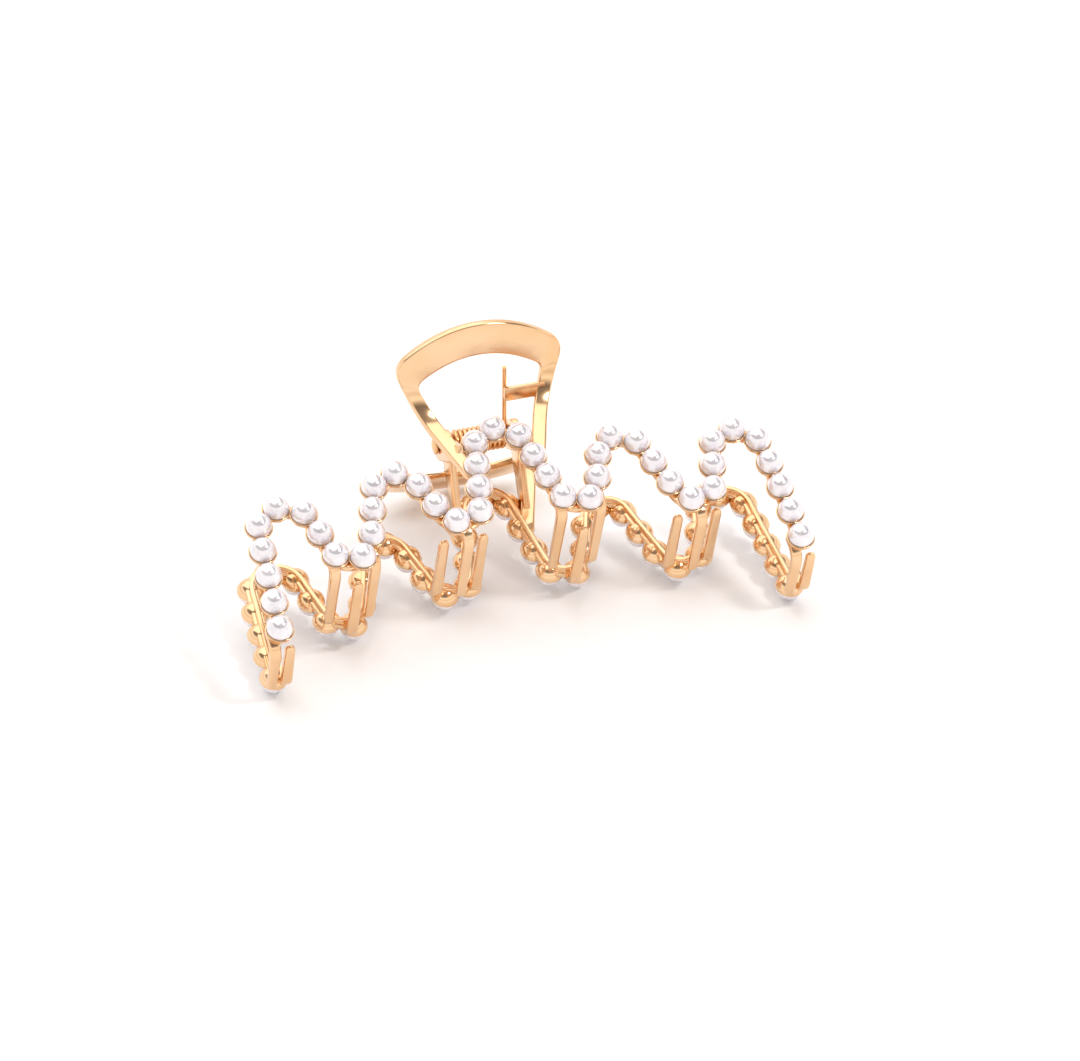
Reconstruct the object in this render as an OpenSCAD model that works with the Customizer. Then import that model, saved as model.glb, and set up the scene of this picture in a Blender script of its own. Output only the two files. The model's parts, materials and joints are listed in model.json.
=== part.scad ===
/* [Jaws] */
// Diameter of one pearl
pearl_d = 4; // [3.4:0.1:4.1]
// Sideways place of the inner valleys between arches
inner_valley_x = 9.2; // [8.8:0.1:9.6]
// Sideways place of the side arches
side_arch_x = 17.8; // [17.4:0.1:18.2]
// Sideways place of the outer valleys between arches
outer_valley_x = 27.1; // [26.7:0.1:27.5]
// Sideways place of the end arches
end_arch_x = 35.8; // [35.4:0.1:36.2]
// Bend radius of the pearl line over the middle arch
centre_arch_r = 3.8; // [3.5:0.1:4.1]
// Bend radius of the pearl line over the side arches
side_arch_r = 3.5; // [3.2:0.1:3.8]
// Bend radius of the pearl line over the end arches
end_arch_r = 4.1; // [3.8:0.1:4.4]
// Bend radius of the pearl line in a valley
valley_r = 3.2; // [2.8:0.1:3.4]
// Distance from the hinge to the middle of the jaw, front to back
jaw_reach = 9.85; // [9:0.1:12]

/* [Pearl seats] */
// Wall of a seat outside its pearl
seat_wall = 0.28; // [0.2:0.02:0.4]
// Film of glue between a pearl and its seat
glue_film = 0.03; // [0.02:0.01:0.05]
// Width of the strap that joins the seats
strap_w = 2.6; // [2:0.1:3]
// Thickness of the strap
strap_t = 0.9; // [0.7:0.1:1.2]
// Width of the rib along the inside of the strap
rib_w = 0.9; // [0.7:0.1:1.2]
// Height of the rib above the strap
rib_h = 0.8; // [0.4:0.1:1]

/* [Teeth] */
// Width of a tooth
tooth_w = 1.7; // [1.3:0.1:1.9]
// Thickness of a tooth
tooth_t = 1.2; // [0.9:0.1:1.4]
// Sideways distance of the paired teeth from the middle of a valley
pair_offset = 3.1; // [2.9:0.1:3.3]
// How far a tooth reaches past the middle of the clip
tooth_reach = 6; // [4:0.2:6.4]
// How far the end teeth reach, short of the other half's last seat
end_tooth_reach = 5; // [4:0.1:5.1]
// Radius of the middle of the bend at the root of a tooth
tooth_bend_r = 2; // [1.6:0.1:2.4]

/* [Handle] */
// Half of the handle's width at its corners
handle_half_w = 13.6; // [12:0.2:15]
// Thickness of the handle plate
handle_t = 1.5; // [1.2:0.1:1.8]
// Width of a handle leg, measured sideways
leg_w = 2.4; // [2:0.1:2.8]
// Width of the thumb band across the top
thumb_band_w = 4.5; // [3.6:0.1:5.2]
// Radius of the bend where the handle leaves the jaw
handle_bend_r = 9; // [8:0.2:10]
// Angle of the thumb plate from the jaw
handle_splay = 68; // [62:1:72]

/* [Hinge] */
// Diameter of the hinge pin
pin_d = 1.6; // [1.3:0.1:1.8]
// Radial gap between the pin and the ears
pin_gap = 0.05; // [0.03:0.01:0.08]
// Diameter of the pin's heads
pin_head_d = 2.6; // [2.2:0.1:3]
// Thickness of a pin head
pin_head_t = 0.6; // [0.5:0.1:0.8]
// Thickness of one ear
ear_t = 1; // [0.8:0.1:1.2]
// Outer diameter of an ear
ear_d = 4.6; // [4.2:0.1:5]
// Gap between neighbouring ears, and between ears and spring
ear_gap = 0.2; // [0.15:0.05:0.3]

/* [Spring] */
// Diameter of the spring wire
wire_d = 0.7; // [0.6:0.05:0.8]
// Outer diameter of the spring
spring_d = 4.2; // [3.8:0.1:4.4]
// Number of turns in the spring
spring_turns = 10; // [9:1:11]
// Length of a spring leg, measured from the pin
spring_leg = 13.4; // [12:0.2:13.8]

/* [Hidden] */
gold = "#e3ac62";
pearl_white = "#f2f0ee";

// Heights in the hinge frame, measured down from the pin
centre_arch_z = -8.7;
inner_valley_z = -18.4;
side_arch_z = -13.8;
outer_valley_z = -21.2;
end_arch_z = -16.6;
line_end = [41, -32.8];

// Turning points of the pearl line from the middle outwards: [x, z, radius, side],
// where side is 1 over an arch and -1 in a valley
turns = [[0, centre_arch_z, centre_arch_r, 1],
         [inner_valley_x, inner_valley_z, valley_r, -1],
         [side_arch_x, side_arch_z, side_arch_r, 1],
         [outer_valley_x, outer_valley_z, valley_r, -1],
         [end_arch_x, end_arch_z, end_arch_r, 1],
         [line_end[0], line_end[1], 0, -1]];
arc_steps = 12;
pearls_each_side = 21;
// Pearl counts from the middle at which a run of pearls ends: centre, side, end
centre_run_end = 4;
side_run_end = 12;

// Direction of the straight run from turn i to turn i + 1
function run_angle(i) =
    let (a = turns[i], b = turns[i + 1], dx = b[0] - a[0], dz = b[1] - a[1])
    atan2(dz, dx) - a[3] * asin((a[2] + b[2]) / norm([dx, dz]));
// Point of turn i where the line runs in the given direction
function turn_point(i, angle) =
    let (a = turns[i])
    [a[0] - a[3] * a[2] * sin(angle), a[1] + a[3] * a[2] * cos(angle)];
function turn_arc(i) =
    let (from = i == 0 ? 0 : run_angle(i - 1),
         to = i == len(turns) - 1 ? from : run_angle(i))
    [for (k = [0:arc_steps]) turn_point(i, from + (to - from) * k / arc_steps)];
pearl_line = [for (i = [0:len(turns) - 1]) each turn_arc(i)];
line_steps = [for (i = [1:len(pearl_line) - 1]) norm(pearl_line[i] - pearl_line[i - 1])];
function run_sum(list, i = 0, total = 0, out = [0]) =
    i == len(list) ? out : run_sum(list, i + 1, total + list[i], concat(out, total + list[i]));
line_lengths = run_sum(line_steps);
pearl_pitch = line_lengths[len(line_lengths) - 1] / pearls_each_side;
// Point of the pearl line at a given length from the middle
function on_line(length, i = 1) =
    (i == len(pearl_line) - 1 || line_lengths[i] >= length)
    ? let (part = (length - line_lengths[i - 1]) / max(line_steps[i - 1], 0.0001))
      pearl_line[i - 1] + part * (pearl_line[i] - pearl_line[i - 1])
    : on_line(length, i + 1);

// Depth of the jaw at a place on it: a shallow belly whose ends wrap inwards
belly_z = -23;
belly_fall = 340;
end_wrap = 0.09;
function jaw_y(x, z) =
    -jaw_reach + pow(z - belly_z, 2) / belly_fall - end_wrap * pow(x / line_end[0], 2) * z;
// Centre of pearl k, counted from the middle, negative to the left
function pearl_at(k) =
    let (p = on_line(abs(k) * pearl_pitch), x = sign(k) * p[0])
    [x, jaw_y(p[0], p[1]), p[1]];
pearls = [for (k = [-pearls_each_side:pearls_each_side]) pearl_at(k)];

seat_r = pearl_d / 2 + seat_wall;
cavity_r = pearl_d / 2 + glue_film;
seat_rim = 0.45;
strap_back = pearl_d / 2 - 0.1;
strap_front = strap_back - strap_t;
rib_back = strap_back + rib_h;
// Every other length of strap is a hair slimmer, so that no two faces share a plane
strap_slim = 0.03;
// How far a cutting shape reaches past what it cuts
cut_spare = 1;

// Teeth: drop of each bar below its valley or its end, and how far a post runs into the strap
pair_drop = 3.6;
single_drop = 5.6;
end_drop = 2.4;
end_shift = 1.1;
post_rise = 1;
function tooth_root(x, bar_z) = jaw_y(x, bar_z) + strap_back - tooth_t / 2;

// Ears: each half has one outer and one inner ear, so the two halves are one casting
coil_r = (spring_d - wire_d) / 2;
// The coil is drawn as rings a little thicker than the wire, so that they join up
ring_step = 1.08;
ring_wire = 1.1;
ring_pitch = wire_d * ring_step;
leg_rise = 20;
spring_half_l = (spring_turns * ring_pitch + ring_pitch) / 2;
ear_inner_x = spring_half_l + ear_gap;
ear_outer_x = ear_inner_x + ear_t + ear_gap;
pin_half_l = ear_outer_x + ear_t + ear_gap / 2;
pin_r = pin_d / 2;

// Handle plate: it stands behind the seats of the jaw's middle and starts to bend at bend_z
leg_depth = 1.95;
leg_y = leg_depth - jaw_reach;
bend_z = -4;
plate_l = 8.5;
bend_steps = 10;
leg_l = 9;
function bend_point(r, turn) = [leg_y - handle_bend_r + r * cos(turn), bend_z + r * sin(turn)];

// Fan outline of the handle, cut square to the middle of the bend
cut_tilt = 34;
fan_foot = -6.5;
fan_top = 17;
fan_corner = 12.3;
foot_half_w = 6.1;
fan_depth = 20;
function fan_height(p) = -p[0] * sin(cut_tilt) + p[1] * cos(cut_tilt);
// Corner of the thumb plate's end, on its outer or its inner face, as [y, z]
function tip_corner(r) =
    let (start = bend_point(r, handle_splay), dir = [-sin(handle_splay), cos(handle_splay)])
    start + dir * (fan_top - fan_height(start)) / fan_height(dir);
tip_outer = tip_corner(handle_bend_r - handle_t / 2);
tip_inner = tip_corner(handle_bend_r + handle_t / 2);

// The clip lies on its back half: the hinge frame is turned about the pin until the tip of
// the back handle and one of the back pearls touch the table, then it is lifted onto it
function rest_angle(p) =
    let (a = p[1] - tip_outer[0], b = tip_outer[1] - p[2])
    acos(pearl_d / 2 / norm([a, b])) - atan2(b, a);
recline = min([for (p = pearls) rest_angle(p)]);
hinge_height = -tip_outer[0] * cos(recline) - tip_outer[1] * sin(recline);
near_edge = -end_tooth_reach * sin(recline) + (line_end[1] - end_drop - tooth_t / 2) * cos(recline);
far_edge = -tip_inner[0] * sin(recline) + tip_inner[1] * cos(recline);
hinge_back = -(near_edge + far_edge) / 2;

module lay() translate([0, hinge_back, hinge_height]) rotate([recline - 90, 0, 0]) children();

// ---- Pearl seats and strap ----

module seat() {
    rotate([-90, 0, 0]) rotate_extrude($fn = 40) intersection() {
        circle(r = seat_r);
        translate([0, seat_rim]) square([seat_r + cut_spare, seat_r + cut_spare]);
    }
}

// Section of the strap with its rib: across the jaw, then depth behind the pearl centres
module strap_section(slim) {
    side = strap_w / 2 - slim;
    rib_side = rib_w / 2 - slim;
    back = strap_back - slim;
    rib_top = rib_back - slim;
    polygon([[-side, strap_front], [side, strap_front], [side, back], [rib_side, back],
             [rib_side, rib_top], [-rib_side, rib_top], [-rib_side, back], [-side, back]]);
}

// One straight length of strap from pearl k to the next
module strap_length(k) {
    run = pearls[k + 1] - pearls[k];
    flat = norm([run[0], run[2]]);
    translate(pearls[k]) rotate([0, -atan2(run[2], run[0]), 0])
        rotate([0, 0, atan2(run[1], flat)]) rotate([0, 90, 0])
            linear_extrude(norm(run)) strap_section(strap_slim * (k % 2));
}

module jaw_strip() {
    for (p = pearls) translate(p) seat();
    for (k = [0:len(pearls) - 2]) strap_length(k);
}

// ---- Teeth ----

// One tooth: a post down from the strap, a quarter bend and a bar with a round tip
module tooth(x, top_z, bar_z, tip_y) {
    root_y = tooth_root(x, bar_z);
    bar_l = tip_y - root_y - tooth_bend_r - tooth_w / 2;
    translate([x, root_y, bar_z]) {
        translate([-tooth_w / 2, -tooth_t / 2, tooth_bend_r])
            cube([tooth_w, tooth_t, top_z - bar_z - tooth_bend_r]);
        translate([0, tooth_bend_r, tooth_bend_r]) rotate([0, 90, 0])
            rotate([0, 0, -90]) rotate_extrude(angle = 90, $fn = 48)
                translate([tooth_bend_r - tooth_t / 2, -tooth_w / 2]) square([tooth_t, tooth_w]);
        translate([-tooth_w / 2, tooth_bend_r, -tooth_t / 2]) cube([tooth_w, bar_l, tooth_t]);
        translate([0, tooth_bend_r + bar_l, -tooth_t / 2])
            cylinder(d = tooth_w, h = tooth_t, $fn = 32);
    }
}

// Places of the teeth of one half: [x, top, bar height, reach]
tooth_places = [
    for (side = [-1, 1])
        [-outer_valley_x + side * pair_offset, outer_valley_z + post_rise,
         outer_valley_z - pair_drop, tooth_reach],
    [-inner_valley_x, inner_valley_z - valley_r, inner_valley_z - single_drop, tooth_reach],
    for (side = [-1, 1])
        [inner_valley_x + side * pair_offset, inner_valley_z + post_rise,
         inner_valley_z - pair_drop, tooth_reach],
    [outer_valley_x, outer_valley_z - valley_r, outer_valley_z - single_drop, tooth_reach],
    for (side = [-1, 1])
        [side * line_end[0] - end_shift, line_end[1] + post_rise,
         line_end[1] - end_drop, end_tooth_reach]];

module teeth() {
    for (t = tooth_places) tooth(t[0], t[1], t[2], t[3]);
}

// ---- Handle ----

// Bent plate in section: up from the jaw, round the bend, out along the thumb plate
function bend_side(r) =
    let (tip = plate_l * [-sin(handle_splay), cos(handle_splay)])
    concat([bend_point(r, 0) - [0, leg_l]],
           [for (k = [0:bend_steps]) bend_point(r, handle_splay * k / bend_steps)],
           [bend_point(r, handle_splay) + tip]);
module plate_section() {
    outer = bend_side(handle_bend_r - handle_t / 2);
    inner = bend_side(handle_bend_r + handle_t / 2);
    polygon(concat(outer, [for (k = [len(inner) - 1:-1:0]) inner[k]]));
}

thumb_r = (pow(handle_half_w, 2) + pow(fan_top - fan_corner, 2)) / (2 * (fan_top - fan_corner));
leg_slope = (handle_half_w - foot_half_w) / (fan_corner - fan_foot);
// The fan outline, or with a leg width and a band the outline of the opening inside it
module fan(leg, band, foot) {
    top = fan_top - band;
    foot_x = foot_half_w + leg_slope * (foot - fan_foot) - leg;
    top_x = foot_half_w + leg_slope * (top - fan_foot) - leg;
    intersection() {
        translate([0, fan_top - thumb_r]) circle(r = thumb_r - band, $fn = 120);
        polygon([[-foot_x, foot], [foot_x, foot], [top_x, top], [-top_x, top]]);
    }
}

module handle() {
    wide = 2 * (handle_half_w + cut_spare);
    intersection() {
        rotate([90, 0, 90]) translate([0, 0, -wide / 2]) linear_extrude(wide) plate_section();
        rotate([90 + cut_tilt, 0, 0]) linear_extrude(fan_depth) difference() {
            fan(0, 0, fan_foot);
            fan(leg_w, thumb_band_w, fan_foot - cut_spare);
        }
    }
}

// ---- Ears ----

ear_foot = [leg_y - 0.5, -8.6];
ear_bar_w = 3;
module ear(x) {
    run = atan2(ear_foot[1], ear_foot[0]);
    translate([x, 0, 0]) rotate([90, 0, 90]) linear_extrude(ear_t) {
        circle(d = ear_d, $fn = 64);
        rotate(run) translate([0, -ear_bar_w / 2]) square([norm(ear_foot), ear_bar_w]);
    }
}

// Small tab that catches a leg of the spring, lying along the leg just outside it
tab_w = 2.3;
tab_t = 0.8;
tab_end_x = 3.5;
tab_run = 9;
// How far the tab runs into the handle leg, counted from the leg's outside
tab_inset = 1;
tab_gap = 0.02;
module along_spring_leg() translate([0, -coil_r * sin(leg_rise), -coil_r * cos(leg_rise)])
    rotate([-leg_rise, 0, 0]) children();
module spring_tab() {
    tab_l = handle_half_w - leg_w - tab_inset - tab_end_x;
    along_spring_leg() translate([tab_end_x, -tab_run - tab_w / 2, -wire_d / 2 - tab_gap - tab_t])
        cube([tab_l, tab_w, tab_t]);
}

module half() {
    color(gold) difference() {
        union() {
            jaw_strip();
            teeth();
            handle();
            ear(-ear_outer_x - ear_t);
            ear(ear_inner_x);
            spring_tab();
        }
        for (p = pearls) translate(p) sphere(r = cavity_r, $fn = 48);
        rotate([0, 90, 0])
            cylinder(r = pin_r + pin_gap, h = 2 * (pin_half_l + cut_spare), center = true, $fn = 48);
    }
}

module front_half() lay() half();
module back_half() lay() rotate([0, 0, 180]) half();

// ---- Pin and spring ----

module hinge_pin() lay() color(gold) rotate([0, 90, 0]) {
    cylinder(d = pin_d, h = 2 * pin_half_l, center = true, $fn = 48);
    for (side = [0, 1]) mirror([0, 0, side]) translate([0, 0, pin_half_l])
        cylinder(d = pin_head_d, h = pin_head_t, $fn = 48);
}

// Wire of the spring: close turns, drawn as rings, and two straight legs
module spring() lay() color(gold) {
    for (k = [0:spring_turns]) translate([(k - spring_turns / 2) * ring_pitch, 0, 0])
        rotate([0, 90, 0]) rotate_extrude($fn = 48)
            translate([coil_r, 0]) circle(d = wire_d * ring_wire, $fn = 24);
    for (turn = [0, 180]) rotate([0, 0, turn]) translate([spring_turns / 2 * ring_pitch, 0, 0])
        along_spring_leg() rotate([90, 0, 0]) cylinder(d = wire_d, h = spring_leg, $fn = 24);
}

// ---- Pearls ----

module pearl_run(first, last) color(pearl_white)
    for (k = [first:last]) translate(pearl_at(k)) sphere(d = pearl_d, $fn = 48);
module front_run(first, last) lay() pearl_run(first, last);
module back_run(first, last) lay() rotate([0, 0, 180]) pearl_run(-last, -first);

module front_pearls_left_end() front_run(-pearls_each_side, -side_run_end - 1);
module front_pearls_left() front_run(-side_run_end, -centre_run_end - 1);
module front_pearls_centre() front_run(-centre_run_end, centre_run_end);
module front_pearls_right() front_run(centre_run_end + 1, side_run_end);
module front_pearls_right_end() front_run(side_run_end + 1, pearls_each_side);
module back_pearls_left_end() back_run(-pearls_each_side, -side_run_end - 1);
module back_pearls_left() back_run(-side_run_end, -centre_run_end - 1);
module back_pearls_centre() back_run(-centre_run_end, centre_run_end);
module back_pearls_right() back_run(centre_run_end + 1, side_run_end);
module back_pearls_right_end() back_run(side_run_end + 1, pearls_each_side);

front_half();
back_half();
hinge_pin();
spring();
front_pearls_left_end();
front_pearls_left();
front_pearls_centre();
front_pearls_right();
front_pearls_right_end();
back_pearls_left_end();
back_pearls_left();
back_pearls_centre();
back_pearls_right();
back_pearls_right_end();
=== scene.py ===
# %% [markdown]
# # A claw clip with two rows of pearls
# The clip is two equal gold castings on one pin, held shut by a torsion spring. Each casting
# carries forty-three lacquered beads. The CAD model fixes every size and place; this script
# gives each part its smooth surface and its finish.

import json
import math

import bmesh
import bpy
from mathutils import Matrix, Vector


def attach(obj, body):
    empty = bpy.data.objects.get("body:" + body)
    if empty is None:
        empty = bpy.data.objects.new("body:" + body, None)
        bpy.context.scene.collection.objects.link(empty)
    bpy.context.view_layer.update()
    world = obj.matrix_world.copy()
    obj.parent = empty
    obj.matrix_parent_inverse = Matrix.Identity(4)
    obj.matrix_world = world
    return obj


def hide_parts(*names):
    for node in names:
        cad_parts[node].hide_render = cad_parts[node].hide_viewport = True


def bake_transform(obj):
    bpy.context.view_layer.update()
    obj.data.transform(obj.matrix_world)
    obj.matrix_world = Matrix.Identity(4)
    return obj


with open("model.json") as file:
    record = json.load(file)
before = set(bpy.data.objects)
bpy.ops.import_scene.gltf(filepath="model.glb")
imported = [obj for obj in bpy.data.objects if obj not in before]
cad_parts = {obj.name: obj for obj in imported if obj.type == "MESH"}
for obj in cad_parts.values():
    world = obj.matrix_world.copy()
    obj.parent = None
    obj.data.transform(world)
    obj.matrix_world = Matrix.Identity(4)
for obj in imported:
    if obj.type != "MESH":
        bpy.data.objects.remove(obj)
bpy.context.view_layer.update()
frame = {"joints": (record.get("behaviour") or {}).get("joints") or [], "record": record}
scene = bpy.context.scene

# %% [markdown]
# ## Camera first
# The clip lies on its back half and is seen from the front left, well above the table. A long
# lens keeps the two jaws nearly parallel. Azimuth, elevation and roll are about one aim point.

# %% Camera
AIM_MM = Vector((6.794, 0.484, 6.856))
CAMERA_AZIMUTH, CAMERA_ELEVATION, CAMERA_ROLL = -18.663, 36.380, 1.339
CAMERA_DISTANCE, CAMERA_LENS = 0.94121, 204.31

azimuth, elevation = math.radians(CAMERA_AZIMUTH), math.radians(CAMERA_ELEVATION)
away = Vector((math.sin(azimuth) * math.cos(elevation),
               -math.cos(azimuth) * math.cos(elevation), math.sin(elevation)))
camera = bpy.data.objects.new("camera", bpy.data.cameras.new("camera"))
scene.collection.objects.link(camera)
camera.data.lens = CAMERA_LENS
camera.data.clip_start, camera.data.clip_end = 0.05, 20
turn = (-away).to_track_quat("-Z", "Y").to_matrix().to_4x4()
camera.matrix_world = (Matrix.Translation(AIM_MM / 1000 + away * CAMERA_DISTANCE)
                       @ turn @ Matrix.Rotation(math.radians(CAMERA_ROLL), 4, "Z"))
scene.camera = camera
print("camera at", [round(v, 3) for v in camera.matrix_world.translation])

# %% [markdown]
# ## One drawing frame for both halves
# A casting is easiest to draw about its hinge: X along the pin, Y towards the back jaw and Z
# towards the handles, in millimetres. The joint gives the pin's place. The two thumb faces
# give the lean, because their outward directions are mirror images about the hinge's Z.

# %% Hinge frame from the record
joint = frame["joints"][0]
mounts = {m["name"]: m for m in frame["record"]["mounts"]}
front_out = Vector(mounts["front_thumb_face"]["axis"]).normalized()
back_out = Vector(mounts["back_thumb_face"]["axis"]).normalized()
hinge_y = (back_out - front_out).normalized()
hinge_z = -(front_out + back_out).normalized()
hinge_x = hinge_y.cross(hinge_z)
hinge = Matrix((hinge_x, hinge_y, hinge_z)).transposed().to_4x4()
hinge.translation = Vector(joint["pos_m"])
MM = Matrix.Scale(0.001, 4)
PLACES = {"front": hinge @ MM, "back": hinge @ Matrix.Rotation(math.pi, 4, "Z") @ MM}
print("hinge at", [round(1000 * v, 2) for v in hinge.translation], "mm")
print("hinge Z", [round(v, 3) for v in hinge_z])

# %% [markdown]
# ## The line that the pearls follow
# A jaw is one wavy line of beads: five arches and four valleys. It is a chain of arcs joined by
# straight runs, so the same few numbers give every bead, and the strap under them.

# %% Pearl line
PEARL_R = 2.0
PEARLS_EACH_SIDE = 21
ARC_STEPS = 12
JAW_HALF_W = 41
# Each turn: sideways place, height, radius, and 1 for an arch or -1 for a valley
TURNS = [(0, -8.7, 3.8, 1), (9.2, -18.4, 3.2, -1), (17.8, -13.8, 3.5, 1),
         (27.1, -21.2, 3.2, -1), (35.8, -16.6, 4.1, 1), (JAW_HALF_W, -32.8, 0, -1)]
JAW_REACH, BELLY_Z, BELLY_FALL, END_WRAP = 9.85, -23, 340, 0.09


def run_angle(i):
    """Direction of the straight run from turn i to the next."""
    (ax, az, ar, side), (bx, bz, br, _) = TURNS[i], TURNS[i + 1]
    return (math.atan2(bz - az, bx - ax)
            - side * math.asin((ar + br) / math.hypot(bx - ax, bz - az)))


def jaw_line():
    points = []
    for i, (x, z, r, side) in enumerate(TURNS):
        start = run_angle(i - 1) if i else 0.0
        stop = run_angle(i) if i < len(TURNS) - 1 else start
        for k in range(ARC_STEPS + 1):
            a = start + (stop - start) * k / ARC_STEPS
            points.append((x - side * r * math.sin(a), z + side * r * math.cos(a)))
    return points


def jaw_depth(x, z):
    """Y of the jaw: a shallow belly whose ends wrap inwards."""
    return -JAW_REACH + (z - BELLY_Z) ** 2 / BELLY_FALL - END_WRAP * (x / JAW_HALF_W) ** 2 * z


half_line = jaw_line()
reach = [0.0]
for (ax, az), (bx, bz) in zip(half_line, half_line[1:]):
    reach.append(reach[-1] + math.hypot(bx - ax, bz - az))
pitch = reach[-1] / PEARLS_EACH_SIDE


def on_jaw(length):
    """Point of the jaw line at a length from its middle, negative to the left."""
    wanted = min(abs(length), reach[-1])
    i = next(k for k in range(1, len(reach)) if reach[k] >= wanted - 1e-9)
    share = (wanted - reach[i - 1]) / max(reach[i] - reach[i - 1], 1e-6)
    (ax, az), (bx, bz) = half_line[i - 1], half_line[i]
    x, z = ax + share * (bx - ax), az + share * (bz - az)
    return Vector((math.copysign(x, length), jaw_depth(x, z), z))


pearl_centres = [on_jaw(k * pitch) for k in range(-PEARLS_EACH_SIDE, PEARLS_EACH_SIDE + 1)]
print(len(pearl_centres), "pearls at a pitch of", round(pitch, 3), "mm")

# %% [markdown]
# ## Small mesh helpers
# Every metal part of the casting is a bar of some section led along a path. `tube` joins the
# rings, `soften` rounds the corners of a section, and `to_object` cleans and places the mesh.

# %% Mesh helpers
CORNER_STEPS, CORNER_SHARE = 4, 0.48
MERGE_DISTANCE = 1e-7
SHARP_ANGLE = math.radians(40)


def soften(corners, radius):
    """A closed outline with each corner turned into a short curve."""
    points = []
    for before, corner, after in zip(corners[-1:] + corners[:-1], corners,
                                     corners[1:] + corners[:1]):
        corner = Vector(corner)
        a, b = Vector(before) - corner, Vector(after) - corner
        a *= min(radius / a.length, CORNER_SHARE)
        b *= min(radius / b.length, CORNER_SHARE)
        for k in range(CORNER_STEPS + 1):
            t = k / CORNER_STEPS
            points.append(corner + a * (1 - t) ** 2 + b * t ** 2)
    return points


def tube(rings):
    """Joins equal rings of points, with flat ends."""
    count, around = len(rings), len(rings[0])
    points = [p for ring in rings for p in ring]
    faces = []
    for i in range(count - 1):
        a, b = i * around, (i + 1) * around
        for j in range(around):
            k = (j + 1) % around
            faces.append((a + j, a + k, b + k, b + j))
    faces.append(tuple(range(around)))
    faces.append(tuple(range((count - 1) * around, count * around)))
    return points, faces


def gather(shapes):
    """Several (points, faces) as one."""
    points, faces = [], []
    for more, polygons in shapes:
        faces += [tuple(v + len(points) for v in p) for p in polygons]
        points += more
    return points, faces


def clean(mesh):
    work = bmesh.new()
    work.from_mesh(mesh)
    bmesh.ops.remove_doubles(work, verts=work.verts, dist=MERGE_DISTANCE)
    bmesh.ops.recalc_face_normals(work, faces=work.faces)
    work.to_mesh(mesh)
    work.free()
    mesh.shade_smooth()
    mesh.set_sharp_from_angle(angle=SHARP_ANGLE)


def to_object(name, shape, place, material):
    """A finished piece at the origin, its place in its mesh."""
    mesh = bpy.data.meshes.new(name)
    mesh.from_pydata([tuple(p) for p in shape[0]], [], shape[1])
    mesh.transform(place)
    clean(mesh)
    mesh.materials.append(material)
    piece = bpy.data.objects.new(name, mesh)
    scene.collection.objects.link(piece)
    print(f"{name}: {len(mesh.vertices)} points, {len(mesh.polygons)} faces")
    return piece


# %% [markdown]
# ## Finishes
# One function turns a painter's hex colour into the linear numbers a shader wants, and one adds
# a node. Patterns read Object coordinates in metres, so a grain of d mm has a scale of 1000 / d.

# %% Material helpers
def hex_colour(text):
    """sRGB hex to linear RGBA."""
    parts = [int(text[i:i + 2], 16) / 255 for i in (1, 3, 5)]
    return (*(p / 12.92 if p <= 0.04045 else ((p + 0.055) / 1.055) ** 2.4
              for p in parts), 1.0)


def add_node(tree, kind, inputs=(), **settings):
    node = tree.nodes.new(kind)
    for key, value in settings.items():
        setattr(node, key, value)
    for key, value in dict(inputs).items():
        if isinstance(value, bpy.types.NodeSocket):
            tree.links.new(value, node.inputs[key])
        else:
            node.inputs[key].default_value = value
    return node


def grain(tree, size_mm, detail=2.0, stretch=(1, 1, 1)):
    """Noise whose lumps are about size_mm across."""
    spot = add_node(tree, "ShaderNodeTexCoord")
    mapping = add_node(tree, "ShaderNodeMapping",
                       {"Vector": spot.outputs["Object"], "Scale": stretch})
    return add_node(tree, "ShaderNodeTexNoise",
                    {"Vector": mapping.outputs["Vector"], "Scale": 1000 / size_mm,
                     "Detail": detail, "Roughness": 0.5})


def new_material(name):
    material = bpy.data.materials.new(name)
    material.use_nodes = True
    material.node_tree.nodes.clear()
    return material, material.node_tree


def blend_colours(tree, share, low, high):
    ramp = add_node(tree, "ShaderNodeValToRGB", {"Fac": share})
    ramp.color_ramp.elements[0].position, ramp.color_ramp.elements[1].position = 0.32, 0.68
    ramp.color_ramp.elements[0].color = hex_colour(low)
    ramp.color_ramp.elements[1].color = hex_colour(high)
    return ramp.outputs["Color"]


def spread(tree, share, low, high):
    return add_node(tree, "ShaderNodeMapRange",
                    {"Value": share, "From Min": 0.3, "From Max": 0.7,
                     "To Min": low, "To Max": high}).outputs["Result"]


# %% [markdown]
# ### Gold-plated zinc casting
# The halves are die-cast zinc, tumbled and then electroplated in a warm light gold. A tumbled
# face keeps slow waves a few millimetres long, which bend the reflections, and a fine orange
# peel that softens them. Hands dull the plate in patches, so the roughness varies.

# %% Plated metals
def plated_metal(name, low, high, polish, wave_mm, wave_height, peel_mm, peel_height,
                 stretch=(1, 1, 1)):
    material, tree = new_material(name)
    patches = grain(tree, 7.0)
    wave = grain(tree, wave_mm, 1.0)
    peel = grain(tree, peel_mm, 3.0, stretch)
    slow = add_node(tree, "ShaderNodeBump", {"Height": wave.outputs["Fac"], "Strength": 1.0,
                                             "Distance": wave_height / 1000})
    fine = add_node(tree, "ShaderNodeBump", {"Height": peel.outputs["Fac"], "Strength": 1.0,
                                             "Distance": peel_height / 1000,
                                             "Normal": slow.outputs["Normal"]})
    shader = add_node(tree, "ShaderNodeBsdfPrincipled", {
        "Base Color": blend_colours(tree, patches.outputs["Fac"], low, high),
        "Metallic": 1.0,
        "Roughness": spread(tree, patches.outputs["Fac"], *polish),
        "Normal": fine.outputs["Normal"]})
    add_node(tree, "ShaderNodeOutputMaterial", {"Surface": shader.outputs["BSDF"]})
    return material


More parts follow.
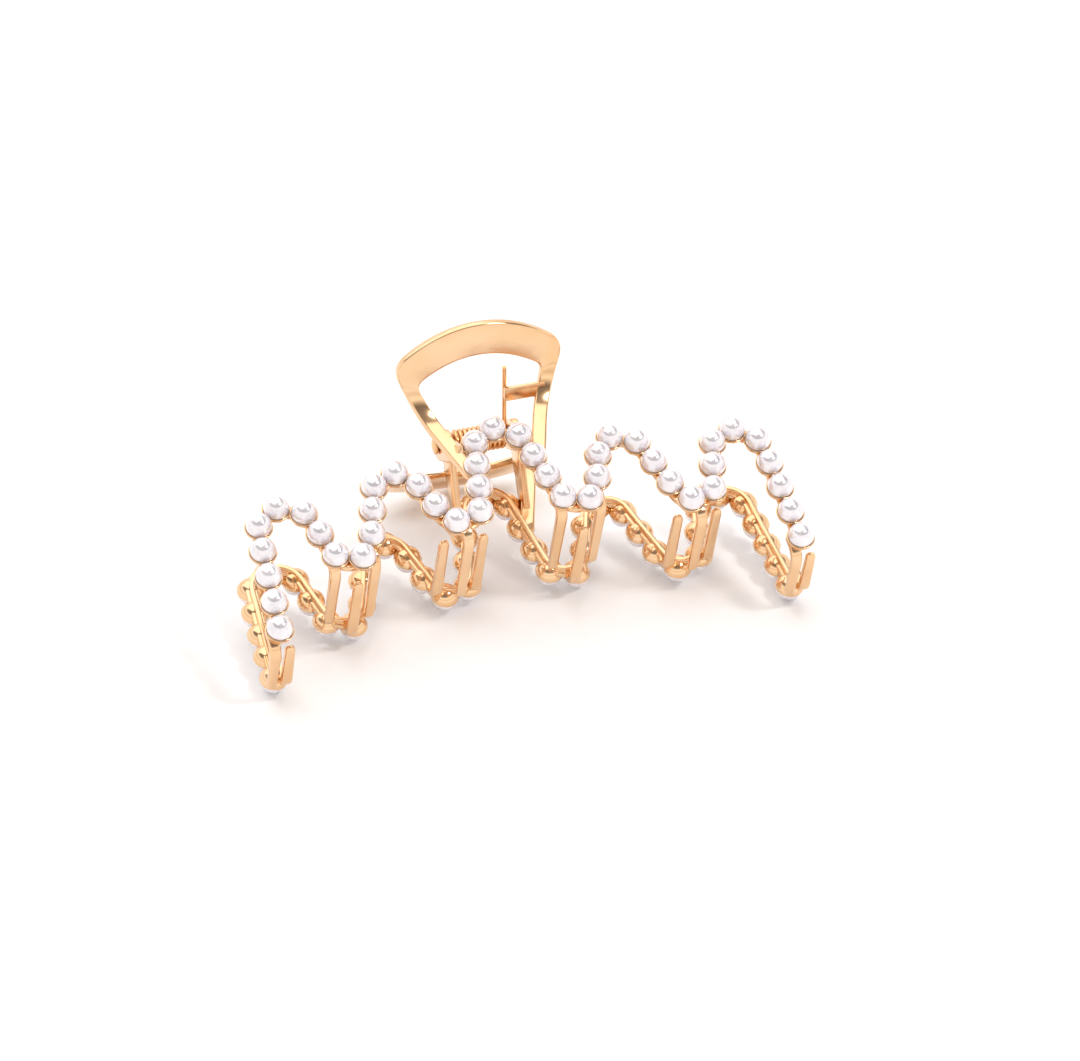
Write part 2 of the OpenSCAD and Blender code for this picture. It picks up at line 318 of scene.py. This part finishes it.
cast_gold = plated_metal("zinc_casting_tumbled_gold_electroplate", "#eabf90", "#f0cba2",
                         (0.13, 0.20), 3.2, 0.035, 0.35, 0.0012)
pin_gold = plated_metal("steel_pin_turned_gold_electroplate", "#e9b680", "#f0c290",
                        (0.16, 0.24), 2.0, 0.006, 0.12, 0.0010, (0.2, 1, 1))
wire_gold = plated_metal("spring_steel_drawn_gold_flash", "#e3ad74", "#eebd88",
                         (0.18, 0.27), 2.0, 0.004, 0.10, 0.0010)
print([m.name for m in bpy.data.materials][-3:])

# %% [markdown]
# ### Pearl lacquer on moulded ABS
# The beads are white ABS with coats of pearl lacquer. Under a hard clear coat the mica flakes
# give a soft second shine, and light sinks a little way in, which keeps the shaded side bright.

# %% Pearl lacquer
def pearl_lacquer(name):
    material, tree = new_material(name)
    cloud = grain(tree, 1.6)
    flakes = grain(tree, 0.12, 3.0)
    bump = add_node(tree, "ShaderNodeBump", {"Height": flakes.outputs["Fac"], "Strength": 1.0,
                                             "Distance": 0.0006 / 1000})
    shader = add_node(tree, "ShaderNodeBsdfPrincipled", {
        "Base Color": blend_colours(tree, cloud.outputs["Fac"], "#e9e5ea", "#f6f3f5"),
        "Metallic": 0.5,
        "Roughness": spread(tree, cloud.outputs["Fac"], 0.16, 0.24),
        "IOR": 1.6,
        "Subsurface Weight": 0.12,
        "Subsurface Scale": 0.0008,
        "Specular Tint": hex_colour("#fff4f6"),
        "Coat Weight": 1.0,
        "Coat Roughness": 0.04,
        "Coat IOR": 1.55,
        "Normal": bump.outputs["Normal"]})
    add_node(tree, "ShaderNodeOutputMaterial", {"Surface": shader.outputs["BSDF"]})
    return material


pearl_white = pearl_lacquer("abs_bead_sprayed_pearl_lacquer")
print(pearl_white.name)

# %% [markdown]
# ## Rows of beads and seats with Geometry Nodes
# Forty-three equal beads on forty-three points is what instancing is for. The tree below takes
# the points as its geometry, copies one shape onto each, makes the copies real and gives them
# their material. The same tree sets the beads and the cups that hold them.

# %% Tree that sets one shape on every point
def node_input(tree, name, kind, value=None):
    socket = tree.interface.new_socket(name=name, in_out="INPUT", socket_type=kind)
    if value is not None:
        socket.default_value = value
    return socket.identifier


def setting_tree():
    tree = bpy.data.node_groups.new("set_on_points", "GeometryNodeTree")
    node_input(tree, "Points", "NodeSocketGeometry")
    ids = {"Shape": node_input(tree, "Shape", "NodeSocketObject"),
           "Size": node_input(tree, "Size", "NodeSocketFloat", 1.0),
           "Finish": node_input(tree, "Finish", "NodeSocketMaterial")}
    tree.interface.new_socket(name="Row", in_out="OUTPUT", socket_type="NodeSocketGeometry")
    given = add_node(tree, "NodeGroupInput")
    shape = add_node(tree, "GeometryNodeObjectInfo", {"Object": given.outputs["Shape"]})
    copies = add_node(tree, "GeometryNodeInstanceOnPoints",
                      {"Points": given.outputs["Points"],
                       "Instance": shape.outputs["Geometry"],
                       "Scale": given.outputs["Size"]})
    real = add_node(tree, "GeometryNodeRealizeInstances",
                    {"Geometry": copies.outputs["Instances"]})
    finish = add_node(tree, "GeometryNodeSetMaterial",
                      {"Geometry": real.outputs["Geometry"],
                       "Material": given.outputs["Finish"]})
    add_node(tree, "NodeGroupOutput", {"Row": finish.outputs["Geometry"]})
    return tree, ids


def helper_object(name, shape):
    mesh = bpy.data.meshes.new(name)
    mesh.from_pydata([tuple(p) for p in shape[0]], [], shape[1])
    helper = bpy.data.objects.new(name, mesh)
    scene.collection.objects.link(helper)
    return helper


def run_nodes(name, helper, tree, values, place, material):
    """Evaluates a tree on a helper and keeps the result as a plain mesh."""
    modifier = helper.modifiers.new(tree.name, "NODES")
    modifier.node_group = tree
    for identifier, value in values.items():
        modifier[identifier] = value
    bpy.context.view_layer.update()
    graph = bpy.context.evaluated_depsgraph_get()
    mesh = bpy.data.meshes.new_from_object(helper.evaluated_get(graph))
    mesh.name = name
    helper.modifiers.clear()
    bpy.data.objects.remove(helper)
    mesh.transform(place)
    clean(mesh)
    mesh.materials.clear()
    mesh.materials.append(material)
    piece = bpy.data.objects.new(name, mesh)
    scene.collection.objects.link(piece)
    print(f"{name}: {len(mesh.vertices)} points, {len(mesh.polygons)} faces")
    return piece


set_tree, set_ids = setting_tree()

# %% [markdown]
# ### The bead and its cup
# A bead is a sphere. Its cup is a shell turned about the bead's depth axis: it starts inside,
# rises to a rounded rim just behind the bead's widest place, and closes in a round back.

# %% Bead and cup shapes
SEAT_R, CAVITY_R = 2.28, 2.03
AROUND, BEAD_RINGS = 32, 18
# Radius of the small flat where a turned shape meets its axis
POLE_R = 0.004
LIP_ANGLE = math.radians(13.5)


def turned(profile, axis="Y"):
    """Turns a profile of (radius, along) about an axis."""
    rings = []
    for radius, along in profile:
        ring = []
        for k in range(AROUND):
            a = 2 * math.pi * k / AROUND
            c, s = radius * math.cos(a), radius * math.sin(a)
            ring.append(Vector((c, along, s)) if axis == "Y" else Vector((along, c, s)))
        rings.append(ring)
    return tube(rings)


def bead_profile():
    return [(max(PEARL_R * math.sin(math.pi * k / BEAD_RINGS), POLE_R),
             -PEARL_R * math.cos(math.pi * k / BEAD_RINGS)) for k in range(BEAD_RINGS + 1)]


def cup_profile():
    inner = [(CAVITY_R * math.cos(a), CAVITY_R * math.sin(a))
             for a in (math.radians(d) for d in (60, 45, 30, 17))]
    middle, half_wall = (SEAT_R + CAVITY_R) / 2, (SEAT_R - CAVITY_R) / 2
    lip = [(middle * math.cos(LIP_ANGLE) + half_wall * math.cos(a),
            middle * math.sin(LIP_ANGLE) - half_wall * 0.9 * math.sin(a))
           for a in (math.radians(d) for d in (150, 120, 90, 60, 30))]
    outer = [(SEAT_R * math.cos(a), SEAT_R * math.sin(a))
             for a in (math.radians(d) for d in (15, 24, 34, 44, 54, 63, 72, 80, 86))]
    floor = [(POLE_R, CAVITY_R), (CAVITY_R * 0.25, CAVITY_R * 0.968)]
    return floor + inner + lip + outer + [(POLE_R, SEAT_R)]


for half, place in PLACES.items():
    bead = helper_object("one_bead", turned(bead_profile()))
    cup = helper_object("one_cup", turned(cup_profile()))
    for name, shape, material in (("pearls", bead, pearl_white), ("seats", cup, cast_gold)):
        piece = run_nodes(f"{half}_{name}", helper_object("points", (pearl_centres, [])),
                          set_tree, {set_ids["Shape"]: shape, set_ids["Size"]: 1.0,
                                     set_ids["Finish"]: material}, place, material)
        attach(piece, half)
        if name == "pearls":
            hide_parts(*[f"{half}_pearls_{part}" for part in
                                 ("left_end", "left", "centre", "right", "right_end")])
    bpy.data.objects.remove(bead)
    bpy.data.objects.remove(cup)

# %% [markdown]
# ## The strap behind the beads
# A flat strap with a raised rib runs behind all the cups. It is one T-shaped section led along
# the jaw line, with every corner rounded as a casting's are.

# %% Strap
STRAP_W, STRAP_T, RIB_W, RIB_H = 1.8, 0.9, 0.75, 0.8
STRAP_BACK = PEARL_R - 0.1
STATIONS_PER_PEARL, LOOK_ALONG, STRAP_SOFT = 6, 0.6, 0.22
strap_section = soften([(-STRAP_W / 2, STRAP_BACK - STRAP_T), (STRAP_W / 2, STRAP_BACK - STRAP_T),
                        (STRAP_W / 2, STRAP_BACK), (RIB_W / 2, STRAP_BACK),
                        (RIB_W / 2, STRAP_BACK + RIB_H), (-RIB_W / 2, STRAP_BACK + RIB_H),
                        (-RIB_W / 2, STRAP_BACK), (-STRAP_W / 2, STRAP_BACK)], STRAP_SOFT)


def strap_shape():
    rings = []
    last = PEARLS_EACH_SIDE * STATIONS_PER_PEARL
    for i in range(-last, last + 1):
        at = on_jaw(i * pitch / STATIONS_PER_PEARL)
        ahead = on_jaw((i + LOOK_ALONG) * pitch / STATIONS_PER_PEARL)
        behind = on_jaw((i - LOOK_ALONG) * pitch / STATIONS_PER_PEARL)
        run = (ahead - behind).normalized()
        across = Vector((run.z, 0, -run.x)).normalized()
        rings.append([at + across * a + Vector((0, d, 0)) for a, d in strap_section])
    return tube(rings)


# %% [markdown]
# ## Teeth
# Eight prongs hang from a half, six at the valleys and one at each end. Each drops from the
# strap, turns through a quarter circle and reaches across to the other half, and its tip is
# rounded so that it slides through hair.

# %% Teeth
TOOTH_W, TOOTH_T, TOOTH_BEND = 1.7, 1.2, 2.0
TOOTH_SOFT, TIP_L, TIP_TAPER, TIP_END = 0.42, 1.0, 0.86, 0.004
POST_STEPS, BEND_STEPS, BAR_STEPS, TIP_STEPS = 4, 10, 8, 6
BEND_STEP_DEG, TIP_STEP_DEG = 9, 14.9
# Each tooth: sideways place, top of its post, height of its bar, and reach
TEETH = [(-30.2, -20.2, -24.8, 6.0), (-24.0, -20.2, -24.8, 6.0), (-9.2, -21.6, -24.0, 6.0),
         (6.1, -17.4, -22.0, 6.0), (12.3, -17.4, -22.0, 6.0), (27.1, -24.4, -26.8, 6.0),
         (-42.1, -31.8, -35.2, 5.0), (39.9, -31.8, -35.2, 5.0)]
tooth_section = soften([(-TOOTH_W / 2, -TOOTH_T / 2), (TOOTH_W / 2, -TOOTH_T / 2),
                        (TOOTH_W / 2, TOOTH_T / 2), (-TOOTH_W / 2, TOOTH_T / 2)], TOOTH_SOFT)


def tooth_path(x, top, bar, tip):
    """(y, z, heading) down the post, round the bend and along the bar."""
    root = jaw_depth(abs(x), bar) + STRAP_BACK - TOOTH_T / 2
    path = [(root, top + (bar + TOOTH_BEND - top) * k / POST_STEPS, -90.0)
            for k in range(POST_STEPS)]
    for k in range(BEND_STEPS + 1):
        a = math.radians(BEND_STEP_DEG * k)
        path.append((root + TOOTH_BEND * (1 - math.cos(a)),
                     bar + TOOTH_BEND * (1 - math.sin(a)), -90.0 + BEND_STEP_DEG * k))
    start = root + TOOTH_BEND
    for k in range(1, BAR_STEPS + 1):
        path.append((start + (tip - TIP_L - start) * k / BAR_STEPS, bar, 0.0))
    for k in range(1, TIP_STEPS + 1):
        a = math.radians(TIP_STEP_DEG * k)
        path.append((tip - TIP_L + TIP_L * math.sin(a), bar, 0.0))
    return path


def tooth_shape(x, top, bar, tip):
    path = tooth_path(x, top, bar, tip)
    bar_start = path[POST_STEPS + BEND_STEPS][0]
    rings = []
    for y, z, heading in path:
        a = math.radians(heading)
        up = Vector((0, -math.sin(a), math.cos(a)))
        slim = 1 + (TIP_TAPER - 1) * max(0.0, (y - bar_start) / (tip - bar_start))
        past = max(0.0, (y - (tip - TIP_L)) / TIP_L)
        slim *= math.sqrt(max(1 - past ** 2, TIP_END))
        rings.append([Vector((x + u * slim, y, z)) + up * v * slim for u, v in tooth_section])
    return tube(rings)


# %% [markdown]
# ## The handle
# The handle is one bent plate: two legs rise from the middle arch, lean outwards round a wide
# bend and meet in a fan-shaped thumb band. It is drawn flat as an outer and an inner outline,
# and a rounded section is led between the two while the plate bends under it.

# %% Handle
LEG_Y, BEND_Z, BEND_R, SPLAY, PLATE_T = -7.9, -4.0, 9.0, 68.0, 1.5
CUT_TILT, FAN_TOP, CORNER_X, CORNER_W, FOOT_X, FOOT_W = 34.0, 17.0, 13.6, 12.3, 6.1, -6.5
LEG_FOOT_S, LEG_W, BAND_W = -8.9, 2.4, 4.5
LEG_STATIONS, CORNER_STATIONS, ARC_STATIONS = 30, 8, 14
PLATE_SOFT, OUTER_ROUNDING, INNER_ROUNDING = 0.42, 2.2, 1.3
FOOT_THIN, FOOT_GROW = 0.6, 0.2
HALVINGS, CORNER_SPARE, SHEET_RANGE = 40, 4, (-14.0, 24.0)
SLOPE = (CORNER_X - FOOT_X) / (CORNER_W - FOOT_W)
THUMB_R = (CORNER_X ** 2 + (FAN_TOP - CORNER_W) ** 2) / (2 * (FAN_TOP - CORNER_W))
splay = math.radians(SPLAY)
tilt = math.radians(CUT_TILT)


def sheet_point(s):
    """(y, z, turn) of the plate's middle at length s past the start of the bend."""
    if s < 0:
        return LEG_Y, BEND_Z + s, 0.0
    turn_here = min(s / BEND_R, splay)
    y = LEG_Y - BEND_R + BEND_R * math.cos(turn_here)
    z = BEND_Z + BEND_R * math.sin(turn_here)
    beyond = s - BEND_R * turn_here
    return y - beyond * math.sin(turn_here), z + beyond * math.cos(turn_here), turn_here


def fan_height(s):
    y, z, _ = sheet_point(s)
    return -y * math.sin(tilt) + z * math.cos(tilt)


def length_at(w):
    """Length along the plate where it has a fan height."""
    low, high = SHEET_RANGE
    for _ in range(HALVINGS):
        middle = (low + high) / 2
        low, high = (middle, high) if fan_height(middle) < w else (low, middle)
    return low


def fan_outline(inset, arc_r, rounding):
    """Left half of an outline from the foot to the middle of the top, as (x, w)."""
    foot = Vector((-(FOOT_X - inset + SLOPE * (fan_height(LEG_FOOT_S) - FOOT_W)),
                   fan_height(LEG_FOOT_S)))
    low, high = 0.0, CORNER_W + CORNER_SPARE
    for _ in range(HALVINGS):
        w = (low + high) / 2
        x = FOOT_X - inset + SLOPE * (w - FOOT_W)
        inside = math.hypot(x, w - FAN_TOP + THUMB_R) < arc_r
        low, high = (w, high) if inside else (low, w)
    corner = Vector((-(FOOT_X - inset + SLOPE * (low - FOOT_W)), low))
    centre = Vector((0, FAN_TOP - THUMB_R))
    before = corner + (foot - corner).normalized() * rounding
    start = math.atan2(-corner.x, corner.y - centre.y) - rounding / arc_r
    after = centre + Vector((-math.sin(start), math.cos(start))) * arc_r
    points = [foot.lerp(before, k / LEG_STATIONS) for k in range(LEG_STATIONS)]
    for k in range(CORNER_STATIONS):
        t = k / CORNER_STATIONS
        points.append(before * (1 - t) ** 2 + corner * 2 * t * (1 - t) + after * t ** 2)
    for k in range(ARC_STATIONS + 1):
        a = start * (1 - k / ARC_STATIONS)
        points.append(centre + Vector((-math.sin(a), math.cos(a))) * arc_r)
    return points


def handle_shape():
    outer = fan_outline(0.0, THUMB_R, OUTER_ROUNDING)
    inner = fan_outline(LEG_W, THUMB_R - BAND_W, INNER_ROUNDING)
    for side in (outer, inner):
        side += [Vector((-p.x, p.y)) for p in side[-2::-1]]
    rings = []
    last = len(outer) - 1
    for i, (out, into) in enumerate(zip(outer, inner)):
        width = (into - out).length
        ends = min(i, last - i)
        half_t = PLATE_T / 2 * min(1.0, FOOT_THIN + FOOT_GROW * ends)
        section = soften([(0, -half_t), (width, -half_t), (width, half_t), (0, half_t)],
                         PLATE_SOFT)
        ring = []
        for u, d in section:
            flat = out.lerp(into, u / width)
            y, z, here = sheet_point(length_at(flat.y))
            ring.append(Vector((flat.x, y + d * math.cos(here), z + d * math.sin(here))))
        rings.append(ring)
    return tube(rings)


# %% [markdown]
# ## Ears and spring tab
# Two lugs on each half take the pin: a round eye that narrows to a foot in the strap. A small
# tab sticks out from a handle leg to catch the spring. The lugs are flat plates with their
# edges broken by a bevel, as a tumbled casting's are.

# %% Ears and tab
EAR_D, EAR_T, EAR_FOOT, EAR_FOOT_HALF = 4.6, 1.0, Vector((-8.4, -8.6)), 1.5
EAR_INNER_X, EAR_OUTER_X = 4.358, 5.558
EAR_BEVEL, EYE_STEPS = 0.18, 32
# The rounded bevel, as shares of it (up from the face, in from the edge)
BEVEL_STEPS = [(0, 1.0), (0.13, 0.5), (0.5, 0.13), (1.0, 0)]
COIL_R, LEG_RISE = 1.75, math.radians(20)
TAB_X, TAB_W, TAB_T, TAB_RUN, WIRE_D, TAB_GAP = (3.5, 9.9), 2.3, 0.8, 9.0, 0.7, 0.02
TAB_SOFT = 0.2
# How the tab rounds off at its free end, as (distance in, share of its section)
TAB_TIP = [(0, 0.82), (0.06, 0.92), (0.2, 1.0)]


def ear_outline():
    """Eye and foot joined by two lines that touch the eye, as (y, z)."""
    run = EAR_FOOT.normalized()
    side = Vector((-run.y, run.x))
    eye = EAR_D / 2
    lean = math.asin((eye - EAR_FOOT_HALF) / EAR_FOOT.length)
    points = []
    start, stop = math.pi / 2 - lean, 2 * math.pi - (math.pi / 2 - lean)
    for k in range(EYE_STEPS + 1):
        a = start + (stop - start) * k / EYE_STEPS
        points.append((run * math.cos(a) + side * math.sin(a)) * eye)
    for sign in (-1, 1):
        points.append(EAR_FOOT + side * sign * EAR_FOOT_HALF)
    return points


def bevelled_plate(outline, x, thick, bevel):
    """A flat plate across X whose edges step in by a bevel."""
    middle = sum(outline, Vector((0, 0))) / len(outline)
    count = len(outline)
    inset = []
    for i, p in enumerate(outline):
        along = outline[(i + 1) % count] - outline[i - 1]
        inward = Vector((-along.y, along.x)).normalized()
        if inward.dot(middle - p) < 0:
            inward = -inward
        inset.append(inward)
    rings = []
    for up, into in BEVEL_STEPS:
        rings.append([Vector((x + bevel * up, *(p + n * bevel * into)))
                      for p, n in zip(outline, inset)])
    for up, into in reversed(BEVEL_STEPS):
        rings.append([Vector((x + thick - bevel * up, *(p + n * bevel * into)))
                      for p, n in zip(outline, inset)])
    return tube(rings)


def tab_shape():
    """The tab lies along the spring leg, just outside it."""
    y = -COIL_R * math.sin(LEG_RISE)
    z = -COIL_R * math.cos(LEG_RISE)
    along = Vector((0, -math.cos(LEG_RISE), math.sin(LEG_RISE)))
    up = Vector((0, math.sin(LEG_RISE), math.cos(LEG_RISE)))
    centre = Vector((0, y, z)) + along * TAB_RUN - up * (WIRE_D / 2 + TAB_GAP + TAB_T / 2)
    section = soften([(-TAB_W / 2, -TAB_T / 2), (TAB_W / 2, -TAB_T / 2),
                      (TAB_W / 2, TAB_T / 2), (-TAB_W / 2, TAB_T / 2)], TAB_SOFT)
    rings = []
    for x, slim in [(TAB_X[0] + into, share) for into, share in TAB_TIP] + [(TAB_X[1], 1.0)]:
        rings.append([centre + Vector((x, 0, 0)) + along * u * slim + up * v * slim
                      for u, v in section])
    return tube(rings)


ear = ear_outline()
for half, place in PLACES.items():
    strap = to_object(f"{half}_strap", strap_shape(), place, cast_gold)
    teeth = to_object(f"{half}_teeth", gather([tooth_shape(*t) for t in TEETH]), place,
                      cast_gold)
    handle = to_object(f"{half}_handle", handle_shape(), place, cast_gold)
    lugs = to_object(f"{half}_ears", gather([
        bevelled_plate(ear, -EAR_OUTER_X - EAR_T, EAR_T, EAR_BEVEL),
        bevelled_plate(ear, EAR_INNER_X, EAR_T, EAR_BEVEL), tab_shape()]), place, cast_gold)
    for piece in (strap, teeth, handle, lugs):
        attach(piece, half)
    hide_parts(f"{half}_half")

# %% [markdown]
# ## The hinge pin
# A plain rod with a domed head pressed on each end. It is turned about X in one piece.

# %% Pin
PIN_R, PIN_HALF_L, HEAD_R, HEAD_T = 0.8, 6.658, 1.3, 0.6
DOME_FOOT, HEAD_EDGE, HEAD_EDGE_T = 0.35, 0.1, 0.08


def pin_profile():
    dome = [(HEAD_R * math.cos(a), HEAD_T * (DOME_FOOT + (1 - DOME_FOOT) * math.sin(a)))
            for a in (math.radians(d) for d in (0, 15, 30, 45, 60, 75))]
    head = [(HEAD_R - HEAD_EDGE, 0.0), (HEAD_R, HEAD_EDGE_T)] + dome + [(POLE_R, HEAD_T)]
    right = [(r, PIN_HALF_L + x) for r, x in head]
    left = [(r, -x) for r, x in reversed(right)]
    return left + [(PIN_R, -PIN_HALF_L), (PIN_R, PIN_HALF_L)] + right


pin = to_object("riveted_pin", turned(pin_profile(), "X"), PLACES["back"], pin_gold)
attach(pin, "back")
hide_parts("hinge_pin")

# %% [markdown]
# ## The torsion spring
# One length of wire: a straight leg under the back handle, ten close turns round the pin, and a
# straight leg under the front handle. A list of points gives its middle line, and a small tree
# sweeps the round wire along it.

# %% Spring
TURNS_OF_WIRE, SPRING_HALF_L, LEG_L, STEPS_PER_TURN = 10, 3.78, 13.4, 28
LEG_STEPS, WIRE_SIDES, BLEND_HALF = 7, 14, 3.2


def wire_path():
    points = []
    for k in range(LEG_STEPS):
        far = LEG_L * (1 - k / LEG_STEPS)
        points.append(Vector((-SPRING_HALF_L, COIL_R * math.sin(LEG_RISE)
                              + far * math.cos(LEG_RISE),
                              -COIL_R * math.cos(LEG_RISE) + far * math.sin(LEG_RISE))))
    sweep = 2 * math.pi * TURNS_OF_WIRE + 2 * LEG_RISE
    steps = TURNS_OF_WIRE * STEPS_PER_TURN
    for k in range(steps + 1):
        a = -LEG_RISE + sweep * k / steps
        points.append(Vector((-SPRING_HALF_L + 2 * SPRING_HALF_L * k / steps,
                              -COIL_R * math.sin(a), -COIL_R * math.cos(a))))
    points += [Vector((-p.x, -p.y, p.z)) for p in points[LEG_STEPS - 1::-1]]
    return points


def wire_tree():
    tree = bpy.data.node_groups.new("wire_along_path", "GeometryNodeTree")
    node_input(tree, "Path", "NodeSocketGeometry")
    ids = {"Wire radius": node_input(tree, "Wire radius", "NodeSocketFloat", WIRE_D / 2),
           "Sides": node_input(tree, "Sides", "NodeSocketInt", WIRE_SIDES),
           "Finish": node_input(tree, "Finish", "NodeSocketMaterial")}
    tree.interface.new_socket(name="Wire", in_out="OUTPUT", socket_type="NodeSocketGeometry")
    given = add_node(tree, "NodeGroupInput")
    line = add_node(tree, "GeometryNodeMeshToCurve", {"Mesh": given.outputs["Path"]})
    ring = add_node(tree, "GeometryNodeCurvePrimitiveCircle",
                    {"Radius": given.outputs["Wire radius"],
                     "Resolution": given.outputs["Sides"]})
    wire = add_node(tree, "GeometryNodeCurveToMesh",
                    {"Curve": line.outputs["Curve"], "Profile Curve": ring.outputs["Curve"],
                     "Fill Caps": True})
    real = add_node(tree, "GeometryNodeRealizeInstances", {"Geometry": wire.outputs["Mesh"]})
    finish = add_node(tree, "GeometryNodeSetMaterial",
                      {"Geometry": real.outputs["Geometry"],
                       "Material": given.outputs["Finish"]})
    add_node(tree, "NodeGroupOutput", {"Wire": finish.outputs["Geometry"]})
    return tree, ids


path = wire_path()
line_mesh = bpy.data.meshes.new("wire_line")
line_mesh.from_pydata([tuple(p) for p in path], [(i, i + 1) for i in range(len(path) - 1)], [])
line_object = bpy.data.objects.new("wire_line", line_mesh)
scene.collection.objects.link(line_object)
spring_tree, wire_ids = wire_tree()
spring = run_nodes("torsion_spring", line_object, spring_tree,
                   {wire_ids["Wire radius"]: WIRE_D / 2, wire_ids["Sides"]: WIRE_SIDES,
                    wire_ids["Finish"]: wire_gold}, PLACES["front"], wire_gold)
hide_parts("spring")
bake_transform(spring)

# %% [markdown]
# ## Table and light
# A pale matt sheet under the clip, a wide softbox overhead for the long soft shadows, and a
# smaller one to the right that puts the bright window on each bead. The room is bright above
# and dim near the horizon, which is what draws the dark lines in polished gold.

# %% Table
def paper(name):
    material, tree = new_material(name)
    fibres = grain(tree, 4.0, 4.0)
    shader = add_node(tree, "ShaderNodeBsdfPrincipled", {
        "Base Color": blend_colours(tree, fibres.outputs["Fac"], "#fdfcfc", "#fefefe"),
        "Roughness": 0.9})
    add_node(tree, "ShaderNodeOutputMaterial", {"Surface": shader.outputs["BSDF"]})
    return material


TABLE_HALF = 3.0
table_mesh = bpy.data.meshes.new("table")
table_mesh.from_pydata([(-TABLE_HALF, -TABLE_HALF, 0), (TABLE_HALF, -TABLE_HALF, 0),
                        (TABLE_HALF, TABLE_HALF, 0), (-TABLE_HALF, TABLE_HALF, 0)],
                       [], [(0, 1, 2, 3)])
table_mesh.materials.append(paper("cotton_paper_pressed"))
table = bpy.data.objects.new("table", table_mesh)
scene.collection.objects.link(table)

# %% Lights
LAMP_AIM = Vector((0, 0, 0.015))
ROOM_STRENGTH = 1.45


def softbox(name, place, size, power):
    lamp = bpy.data.lights.new(name, "AREA")
    lamp.shape, lamp.size, lamp.energy = "SQUARE", size, power
    box = bpy.data.objects.new(name, lamp)
    box.location = place
    box.rotation_euler = (LAMP_AIM - Vector(place)).to_track_quat("-Z", "Y").to_euler()
    scene.collection.objects.link(box)


softbox("overhead", (-0.1, 0.35, 0.9), 1.3, 8.0)
softbox("right_window", (0.42, -0.34, 0.80), 0.15, 2.2)

world = bpy.data.worlds.new("studio")
scene.world = world
world.use_nodes = True
world.node_tree.nodes.clear()
sky = add_node(world.node_tree, "ShaderNodeTexCoord")
height = add_node(world.node_tree, "ShaderNodeSeparateXYZ", {"Vector": sky.outputs["Generated"]})
room = add_node(world.node_tree, "ShaderNodeValToRGB", {"Fac": height.outputs["Z"]})
ROOM_TONES = [(0.0, "#ffffff"), (0.22, "#cfc6c0"), (0.42, "#ffffff"), (0.62, "#6a6462"),
              (1.0, "#8e8886")]
while len(room.color_ramp.elements) < len(ROOM_TONES):
    room.color_ramp.elements.new(1.0)
for stop, (at, tone) in zip(room.color_ramp.elements, ROOM_TONES):
    stop.position, stop.color = at, hex_colour(tone)
glow = add_node(world.node_tree, "ShaderNodeBackground",
                {"Color": room.outputs["Color"], "Strength": ROOM_STRENGTH})
add_node(world.node_tree, "ShaderNodeOutputWorld", {"Surface": glow.outputs["Background"]})
scene.view_settings.view_transform = "Standard"
